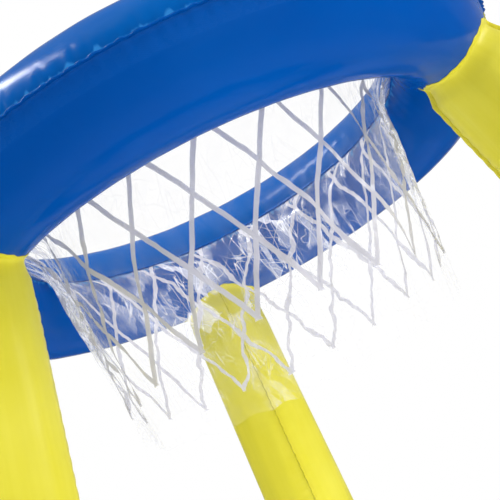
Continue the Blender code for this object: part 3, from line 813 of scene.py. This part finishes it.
# The columns stand closer together where the film is bunched
even_turn = np.linspace(0, math.tau, 4001)
crowding = 1 + 1.5 * bunched(even_turn)
walked = np.concatenate([[0.0], np.cumsum(crowding[1:] + crowding[:-1])])
wide_turn = np.interp(np.linspace(0, walked[-1], NET_COLUMNS + 1), walked, even_turn)[None, :]
turn = wide_turn[:, :-1]
depth = NET_LENGTH * np.linspace(0, 1, NET_ROWS)[:, None]
share = np.clip((depth - NET_NECK_DEPTH) / (NET_LENGTH - NET_NECK_DEPTH), 0, 1)
neck = np.clip(depth / NET_NECK_DEPTH, 0, 1)
plain_radius = np.where(
    depth < NET_NECK_DEPTH,
    NET_HEM_RADIUS + (NET_NECK_RADIUS - NET_HEM_RADIUS) * neck**0.7,
    NET_NECK_RADIUS + (NET_BOTTOM_RADIUS - NET_NECK_RADIUS) * share,
)
drawn_in = BUNCH_DRAWN_IN * bunched_at(turn, LEFT_BUNCH, BUNCH_WIDTH) * np.clip(depth / 0.030, 0, 1)
opening = 1 - 0.75 * np.clip((depth - BUNCH_OPENS_FROM) / BUNCH_OPENS_OVER, 0, 1)
pleats = PLEAT * zigzag(83 * turn + 2.4 * np.sin(9 * turn) + 1.1 * np.sin(38 * depth + 3 * turn))
pleats = pleats + FINE_PLEAT * zigzag(171 * turn + 1.7 * np.sin(11 * turn) - 26 * depth)
pleats = pleats * bunched(turn) * opening
around_film = turn * NET_MEAN_RADIUS
folds = FOLD * np.cos(12 * turn) * (1 + 0.4 * np.sin(5 * turn)) * (0.15 + 0.85 * share)
folds = folds + FINE_FOLD * uneven_wave(turn + 0.05 * depth / NET_LENGTH, 17, 40, 71) * (0.1 + 0.9 * share)
creased = CREASE * crumple(around_film, depth, 72, 16, 0.016, 0.050, 0.7)
creased = creased + CREASE * crumple(around_film, depth, 73, 12, 0.007, 0.018, 1.0)
closing = np.clip(turn / SEAM_CLOSING, 0, 1) * np.clip((math.tau - turn) / SEAM_CLOSING, 0, 1)
loose = np.clip(depth / HEM_STIFF, 0, 1)
radius = plain_radius - drawn_in + folds + (creased + pleats) * closing * loose
drop = depth * (1 + 0.006 * uneven_wave(turn, 5, 30, 74))
points = round_axis(radius, turn, NET_TOP - drop)
lengths = np.stack(np.broadcast_arrays(wide_turn * NET_MEAN_RADIUS, depth), axis=-1)


def stretched(film, tilt, across, along):
    """The film's map turned by a tilt and measured in two lengths, across and along."""
    return film.node("Mapping", {"vector_type": "TEXTURE"}, {
        "Vector": film,
        "Rotation": (0.0, 0.0, tilt),
        "Scale": (across, along, 1.0),
    })


def crease_lines(film, tilt, apart, long, width):
    """Thin creases, 1 on the line: where a noise stretched along them passes through its middle value. tilt
    is their lean from straight down, apart and long are their spacing and length in metres."""
    lumps = {"Vector": stretched(film, tilt, apart, long), "Scale": 1.0, "Detail": 1.0}
    noise = film.node("TexNoise", {"noise_dimensions": "2D"}, lumps)
    return ramp((noise - 0.5).maths("ABSOLUTE"), 0.0, width, 1.0, 0.0)


def clear_film():
    """Clear crumpled film: nearly seen through, with painted highlights along its creases and facets, and the
    printed diamonds in white.

    The film map gives metres round and down it. A point's row number k rises by 1 from one row of crossings
    to the next, and its column number u by 1 from one crossing to the next, so that a line of the print lies
    where u + k / 2 or u - k / 2 is a whole number. The bunch map says how bunched the film is, and how strong
    its painted sheen of reflected light is, strongest at the back.
    """
    finish, start = new_finish("clear_printed_film")
    film = start.node("UVMap", {"uv_map": "film"})
    column, row = film_map(start, "print")
    bunch, painted_sheen = film_map(start, "bunch")
    column = column + (soft_noise(film, 55.0) - 0.5) * (0.05 + bunch * 0.3 + painted_sheen * 0.3)
    off = []
    for half_step in (0.5, -0.5):
        place = column + (row - 1.0) * half_step
        off.append((place - place.maths("ROUND")).maths("ABSOLUTE"))
    half_line = PRINT_LINE / 2 / (PRINT_PITCH * NET_MEAN_RADIUS) / PRINT_LINE_SLOPE
    ink = ramp(off[1].maths("MINIMUM", off[0]), half_line * 0.9, half_line * 1.12, 1.0, 0.0)
    ink = ink * ramp(row, *PRINT_END, 1.0, 0.0)
    haze = soft_noise(film, 60.0, 4.0)
    patchy = ramp(soft_noise(film, 24.0), 0.40, 0.56)
    # Painted highlights: the crease lines and the angular facets are drawn near white and more opaque,
    # standing for the glints of crumpled film.
    long, slanting, short, in_bunch, across_bunch = (crease_lines(film, *kind) for kind in CREASES)
    creases_and_glints = long.maths("MAXIMUM", slanting * 0.8).maths("MAXIMUM", short * 0.6)
    bunch_creases_and_glints = across_bunch.maths("MAXIMUM", in_bunch)
    cells = {"Vector": stretched(film, *GLINT_FACET), "Scale": 1.0}
    facet_cells = start.node("TexVoronoi", {"voronoi_dimensions": "2D"}, cells, output=1)
    glinting_facets = ramp(start.node("SeparateColor", None, {0: facet_cells}), 0.58, 0.72)
    shown = creases_and_glints * patchy * (0.05 + painted_sheen * 0.60) + glinting_facets * patchy * (0.012 + painted_sheen * 0.36 + bunch * 0.12)
    shown = shown * ramp(row, 1.1, 2.0, 1.0, 0.28) + bunch_creases_and_glints * bunch * ramp(row, 1.3, 2.6, 0.60, 0.15)
    # Where the film is seen edge-on it is drawn more opaque and white: partly its haze over a longer path,
    # partly a painted reflection at grazing angles.
    edge_on = start.node("LayerWeight", None, {"Blend": 0.25}, output=1)
    edge_on = edge_on * ramp(row, 1.0, 2.6, 0.06, 0.014)
    cover = 0.006 + ramp(haze, 0.45, 0.75, 0.0, 0.020) + painted_sheen * 0.012 + bunch * 0.02 + edge_on + shown
    plastic(start, {
        "Base Color": two_colours(ink, FILM_COLOUR, INK_COLOUR),
        "Roughness": 0.12,
        "IOR": 1.5,
        "Alpha": (cover + ink * (0.70 - painted_sheen * 0.14)).maths("MINIMUM", 0.93),
        "Normal": bumped(creases_and_glints * 0.5 + bunch_creases_and_glints * bunch * 0.6 + haze * 0.3 + glinting_facets * 0.8, 0.4, 0.0008),
    })
    return finish


net = film_piece("net_sleeve", points, lengths, clear_film(), NET_FILM)
row_number = np.interp(depth, PRINT_DEPTHS, (-1, 0, 1, 2, 3, 4))
for name, across, down in (
    ("print", (wide_turn - PRINT_START) / PRINT_PITCH, row_number),
    # The bunch map's second value is the painted sheen, strongest at the back.
    ("bunch", bunched(wide_turn) * opening, bunched_at(wide_turn, PAINTED_SHEEN_AT, PAINTED_SHEEN_WIDTH)),
):
    values = np.stack(np.broadcast_arrays(across, down), axis=-1)
    lay_map(net.data, name, values, grid_corners(NET_ROWS - 1, NET_COLUMNS))
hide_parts("net_film")
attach(net, "frame")


# The valves
# Each chamber has a soft milky PVC valve: a flange welded to the film, a thin collar between flange and stem,
# the stem with an ear for the strap, a plug on that strap, and a no-return flap inside.
FLANGE_RADIUS = 0.014
FLANGE_BORE = 0.0088
FLANGE_TOP = 0.0009
FLANGE_FOOT = 0.0001
WELD_RING_PITCH = 0.0011
WELD_RING_DEPTH = 0.00008
COLLAR_WALL = 0.0005
COLLAR_HEIGHT = 0.0035
COLLAR_LOW = FLANGE_TOP - 0.0003
COLLAR_GAP = 0.0001
STEM_RADIUS = 0.0046
STEM_BORE = 0.0036
STEM_FOOT = -0.0015
STEM_RIM = 0.0095
PLUG_RADIUS = 0.0053
PLUG_GROOVE = (0.0026, 0.0032, 0.0040, 0.0003)  # inner, middle and outer radius, depth
PLUG_HEAD = 0.0014
PLUG_STUB = 0.0037
HINGE_REACH = 0.0078
HINGE_DROP = 0.0010
KNUCKLE = 0.0006
STRAP_WIDTH = 0.0036
STRAP_WALL = 0.0009
STRAP_BEND = 0.0011
STRAP_STEPS = 12
EAR_STEPS = 24
FLAP_WALL = 0.0005
VALVE_GAP = 0.0003
VALVE_COLUMNS = 72
CORNER_STEPS = 4
PVC_COLOURS = ((0.50, 0.56, 0.62, 1.0), (0.61, 0.66, 0.71, 1.0))
Seat = namedtuple("Seat", "centre down across out bend_down bend_across")


def unit(vector):
    """The same direction with length 1."""
    return vector / np.linalg.norm(vector)


def ring_seat(ring, azimuth, angle):
    """A valve's place on a ring's upper sheet, its axes, and the film's bending radius down and across."""
    a, b = ring.half_width, ring.rise
    radial, sideways, upwards = compass(azimuth)
    out = unit(b * math.cos(angle) * radial + a * math.sin(angle) * upwards)
    centre = np.array(valve_seat(ring, azimuth, angle))
    bend_down = (a * a * math.sin(angle) ** 2 + b * b * math.cos(angle) ** 2) ** 1.5 / (a * b)
    bend_across = math.hypot(centre[0], centre[1]) / math.hypot(out[0], out[1])
    return Seat(centre, np.cross(sideways, out), sideways, out, bend_down, bend_across)


def leg_seat(azimuth):
    """A valve's place on a leg's right panel, its axes, and the film's bending radius down and across."""
    on_axis = leg_point(azimuth, leg_valve_along, 0.0, 0.0)
    outwards = unit(leg_point(azimuth, leg_valve_along, leg_valve_beside, leg_valve_out) - on_axis)
    downwards = unit(leg_point(azimuth, 1.0, 0.0, 0.0) - leg_point(azimuth, 0.0, 0.0, 0.0))
    across = np.cross(outwards, downwards)
    return Seat(leg_valve_seat(azimuth), downwards, across, outwards, math.inf, leg_valve_radius)


def on_seat(seat, x, y, z):
    """Points of a valve's own frame, x down the film, y across it and z out of it, in the object's frame."""
    x, y, z = (value[..., None] for value in np.broadcast_arrays(x, y, z))
    return seat.centre + x * seat.down + y * seat.across + z * seat.out


def rounded(corners, reach, steps=CORNER_STEPS, closed=True):
    """A line through corners, each rounded by a quadratic curve between the points at a reach on either side.

    An open line keeps its two end corners sharp.
    """
    corners = np.array(corners, float)
    sides = []
    for other in (np.roll(corners, 1, axis=0), np.roll(corners, -1, axis=0)):
        way = other - corners
        size = np.maximum(np.linalg.norm(way[:, :2], axis=1, keepdims=True), 1e-9)
        sides.append(corners + way * np.minimum(reach / size, 0.5))
    t = np.linspace(0, 1, steps)[:, None, None]
    bend = (1 - t) ** 2 * sides[0] + 2 * t * (1 - t) * corners + t * t * sides[1]
    line = bend.transpose(1, 0, 2).reshape(-1, corners.shape[1])
    return line if closed else np.concatenate([corners[:1], line[steps:-steps], corners[-1:]])


def turned(seat, profile):
    """A profile turned about a valve's axis. Its points are (radius, height, share of the film's fall below
    the flat), the fall being that of circles of the film's bending radii down and across."""
    radius, height, follow = np.array(profile).T[..., None]
    around = np.linspace(0, math.tau, VALVE_COLUMNS, endpoint=False)
    x, y = radius * np.cos(around), radius * np.sin(around)
    fall_down = x**2 / (seat.bend_down + np.sqrt(seat.bend_down**2 - x**2))
    fall_across = y**2 / (seat.bend_across + np.sqrt(seat.bend_across**2 - y**2))
    return on_seat(seat, x, y, height - follow * (fall_down + fall_across))


def moulding(name, grids, body, replaced):
    """A moulded piece of closed shells, each a grid whose last column meets its first. A shell whose last row
    is not its first again is closed by poles, which are merged."""
    faces, before = [], 0
    for points in grids:
        rows, columns = points.shape[:2]
        faces.append(before + cell_faces(grid_corners(rows - 1, columns), columns))
        before += rows * columns
    corners = np.concatenate([points.reshape(-1, 3) for points in grids])
    mesh = bpy.data.meshes.new(name)
    mesh.from_pydata(corners.tolist(), [], np.concatenate(faces).tolist())
    shape = bmesh.new()
    shape.from_mesh(mesh)
    bmesh.ops.remove_doubles(shape, verts=shape.verts, dist=1e-6)
    bmesh.ops.recalc_face_normals(shape, faces=shape.faces)
    shape.to_mesh(mesh)
    shape.free()
    piece = smooth_piece(name, mesh, soft_pvc)
    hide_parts(replaced)
    if body:
        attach(piece, body)
    return piece


def ring_of(profile):
    """A closed profile with its first point again at the end, so that the turned shell closes on itself."""
    return np.concatenate([profile, profile[:1]])


def bar(seat, path, heights, width, steps=24):
    """A flat bar along a path in a valve's xz plane: a rounded oblong section, |y| ** 4 + |z| ** 4 = 1,
    carried square to the path, its height given along it; the ends round off to poles."""
    path, heights = np.array(path, float), np.array(heights, float)
    gone = walk(path)
    near_end = np.minimum(gone, gone[-1] - gone) / (heights.max() / 2)
    swell = np.sqrt(1 - (1 - np.clip(near_end, 0, 1)) ** 2)
    along = np.gradient(path, axis=0)
    along /= np.linalg.norm(along, axis=1, keepdims=True)
    around = np.linspace(0, math.tau, steps, endpoint=False)
    side = np.sign(np.cos(around)) * np.abs(np.cos(around)) ** 0.5
    rise = np.sign(np.sin(around)) * np.abs(np.sin(around)) ** 0.5
    lift = swell[:, None] * heights[:, None] / 2 * rise
    x = path[:, :1] - along[:, 1:] * lift
    z = path[:, 1:] + along[:, :1] * lift
    return on_seat(seat, x, width / 2 * swell[:, None] ** 0.5 * side, z)


soft_pvc, nodes = new_finish("milky_soft_pvc")
place = nodes.node("TexCoord", output=3)
mottle, cloud = soft_noise(place, 420.0, 3.0), soft_noise(place, 90.0)
plastic(nodes, {
    "Base Color": two_colours(ramp(mottle * 0.4 + cloud * 0.6, 0.35, 0.65), *PVC_COLOURS),
    "Roughness": ramp(mottle, 0.3, 0.7, 0.22, 0.34),
    "Normal": bumped(mottle, 0.2, 0.0001),
    "Specular IOR Level": 0.4,
    "Subsurface Weight": 0.3,
    "Subsurface Radius": (0.004, 0.004, 0.004),
    "Subsurface Scale": 0.5,
})

seats = {"hoop_valve": ring_seat(HOOP, *HOOP_VALVE), "base_valve": ring_seat(BASE, *BASE_VALVE)}
for leg, azimuth in leg_azimuths.items():
    seats[leg + "_valve"] = leg_seat(azimuth)

# The profiles, as (radius, height, share of the film's fall)
weld_rings = np.linspace(FLANGE_RADIUS - 0.0006, FLANGE_BORE + 0.0006, 30)
weld_wave_top = np.cos((weld_rings - FLANGE_BORE) * (math.tau / WELD_RING_PITCH))
weld_height = FLANGE_TOP - WELD_RING_DEPTH + WELD_RING_DEPTH * weld_wave_top
flange_top = np.stack([weld_rings, weld_height, np.ones_like(weld_rings)], axis=-1)
flange_line = rounded([
    (FLANGE_BORE, FLANGE_FOOT, 1), (FLANGE_RADIUS, FLANGE_FOOT, 1),
    (FLANGE_RADIUS, FLANGE_TOP, 1), (FLANGE_BORE, FLANGE_TOP, 1),
], 0.0003)
last_corner = 3 * CORNER_STEPS
flange_line = ring_of(np.concatenate([flange_line[:last_corner], flange_top, flange_line[last_corner:]]))
slope = np.linspace(0, 1, 10)
collar_radius = STEM_RADIUS + COLLAR_GAP + (FLANGE_BORE - COLLAR_GAP - STEM_RADIUS) * slope
collar_height = COLLAR_LOW + (COLLAR_HEIGHT - COLLAR_LOW) * (0.5 + 0.5 * np.cos(math.pi * slope)) ** 1.5
collar_top = np.stack([collar_radius, collar_height, slope**2], axis=-1)
collar_line = ring_of(np.concatenate([collar_top, (collar_top - (0.0, COLLAR_WALL, 0.0))[::-1]]))
stem_line = ring_of(rounded([
    (STEM_RADIUS, STEM_FOOT, 0), (STEM_RADIUS, STEM_RIM, 0),
    (STEM_BORE, STEM_RIM, 0), (STEM_BORE, STEM_FOOT, 0),
], 0.00035))
head_low = STEM_RIM + VALVE_GAP
head_high = head_low + PLUG_HEAD
stub = STEM_BORE - VALVE_GAP
groove_in, groove_middle, groove_out, groove_depth = PLUG_GROOVE
plug_line = rounded([
    (0.0, head_high, 0), (groove_in, head_high, 0),
    (groove_middle, head_high - groove_depth, 0), (groove_out, head_high, 0),
    (PLUG_RADIUS, head_high, 0), (PLUG_RADIUS, head_low, 0), (stub, head_low, 0),
    (stub - 0.0004, head_low - PLUG_STUB, 0), (0.0, head_low - PLUG_STUB, 0),
], 0.0004, closed=False)
flap_high = STEM_FOOT - VALVE_GAP
flap_radius = STEM_BORE + 0.0004
flap_line = rounded([
    (0.0, flap_high, 0), (flap_radius, flap_high, 0),
    (flap_radius, flap_high - FLAP_WALL, 0), (0.0, flap_high - FLAP_WALL, 0),
], 0.0002, closed=False)

# The strap runs out from the plug, bends down and ends in a knuckle at the ear
hinge_height = STEM_RIM - HINGE_DROP
band_height = head_high - STRAP_WALL / 2
strap_path = rounded([
    (PLUG_RADIUS - 0.0006, band_height),
    (HINGE_REACH, band_height),
    (HINGE_REACH, hinge_height - KNUCKLE),
], STRAP_BEND, steps=STRAP_STEPS, closed=False)
strap_path = np.concatenate([
    np.linspace(strap_path[0], strap_path[1], STRAP_STEPS)[:-1],
    strap_path[1:-1],
    np.linspace(strap_path[-2], strap_path[-1], STRAP_STEPS)[1:],
])
strap_stations = [0, 2 * (STRAP_STEPS - 1), len(strap_path) - 1]
strap_heights = np.interp(np.arange(len(strap_path)), strap_stations, [STRAP_WALL, STRAP_WALL, 2 * KNUCKLE])
ear_start = ((STEM_RADIUS + STEM_BORE) / 2, hinge_height)
ear_path = np.linspace(ear_start, (HINGE_REACH - KNUCKLE - VALVE_GAP, hinge_height), EAR_STEPS)
for valve, seat in seats.items():
    moulding(valve + "_welded_flange", [turned(seat, flange_line)], "frame", valve + "_flange")
    collar = moulding(valve + "_folding_collar", [turned(seat, collar_line)], None, valve + "_collar")
    low_end, high_end = (on_seat(seat, 0.0, 0.0, height) for height in (FLANGE_TOP, COLLAR_HEIGHT))
    valve + "_stem"
    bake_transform(collar)
    ear = bar(seat, ear_path, np.full(EAR_STEPS, 2 * KNUCKLE), STRAP_WIDTH)
    moulding(valve + "_moulded_stem", [turned(seat, stem_line), ear], valve + "_stem", valve + "_stem")
    plug = [turned(seat, plug_line)]
    moulding(valve + "_moulded_plug", plug, valve + "_plug", valve + "_plug")
    strap = bar(seat, strap_path, strap_heights, STRAP_WIDTH)
    moulding(valve + "_bent_strap", [strap], valve + "_plug", valve + "_strap")
    moulding(valve + "_flap_disc", [turned(seat, flap_line)], valve + "_flap", valve + "_flap")
